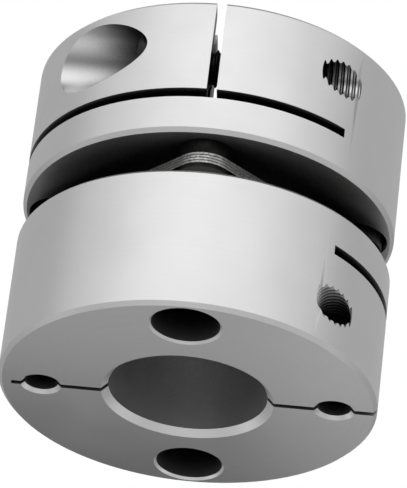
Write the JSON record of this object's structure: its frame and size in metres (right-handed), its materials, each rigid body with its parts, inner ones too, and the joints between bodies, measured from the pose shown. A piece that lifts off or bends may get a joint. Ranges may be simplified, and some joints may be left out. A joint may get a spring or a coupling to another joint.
{
  "type": "disc coupling",
  "caption": "Compact flexible shaft coupling: slit clamping hubs joined by a pack of thin square spring leaves that bends to take up tilt and end float.",
  "frame": {"origin": "middle of the disc pack on the shaft axis, which is the centre of the coupling's box", "axes": "+Z along the shaft axis to the upper hub's end face; the lower hub's slit faces -Y and the upper hub's slit faces -X"},
  "size_m": [0.019, 0.019, 0.0174],
  "materials": {
    "hub_alloy": "fine turned satin, clear anodised",
    "screw_black": "black oxide, slightly oily",
    "leaf_steel": "rolled stainless spring steel",
    "collar_steel": "blackened steel"
  },
  "bodies": {
    "lower_half": {"lower_hub": "hub_alloy", "disc_screw_front": "screw_black", "disc_screw_back": "screw_black", "spacer_front": "collar_steel", "spacer_back": "collar_steel", "washer_front": "collar_steel", "washer_back": "collar_steel"},
    "lower_leaves": {"disc_leaf_1": "leaf_steel", "disc_leaf_2": "leaf_steel"},
    "upper_leaves": {"disc_leaf_3": "leaf_steel", "disc_leaf_4": "leaf_steel"},
    "upper_half": {"upper_hub": "hub_alloy", "disc_screw_left": "screw_black", "disc_screw_right": "screw_black", "spacer_left": "collar_steel", "spacer_right": "collar_steel", "washer_left": "collar_steel", "washer_right": "collar_steel"},
    "lower_clamp": {"lower_clamp_screw": "screw_black"},
    "upper_clamp": {"upper_clamp_screw": "screw_black"}
  },
  "joints": [
    {"name": "disc_tilt", "type": "hinge", "parent": "lower_half", "child": "lower_leaves", "pos_m": [0, 0, 0], "axis": [0, 1, 0], "range_deg": [-1, 1], "stiffness_Nm_per_rad": 2, "deforming": ["disc_leaf_1", "disc_leaf_2"]},
    {"name": "axial_flex", "type": "slide", "parent": "lower_leaves", "child": "upper_leaves", "axis": [0, 0, 1], "range_m": [-0.0001, 0.0001], "stiffness_N_per_m": 70000, "deforming": ["disc_leaf_3", "disc_leaf_4"]},
    {"name": "hub_tilt", "type": "hinge", "parent": "upper_leaves", "child": "upper_half", "pos_m": [0, 0, 0], "axis": [1, 0, 0], "range_deg": [-1, 1], "stiffness_Nm_per_rad": 2},
    {"name": "lower_clamp_turn", "type": "hinge", "parent": "lower_half", "child": "lower_clamp", "pos_m": [0, -0.007, -0.00628], "axis": [1, 0, 0], "range_deg": [0, 360]},
    {"name": "upper_clamp_turn", "type": "hinge", "parent": "upper_half", "child": "upper_clamp", "pos_m": [-0.007, 0, 0.00628], "axis": [0, 1, 0], "range_deg": [0, 360]}
  ]
}
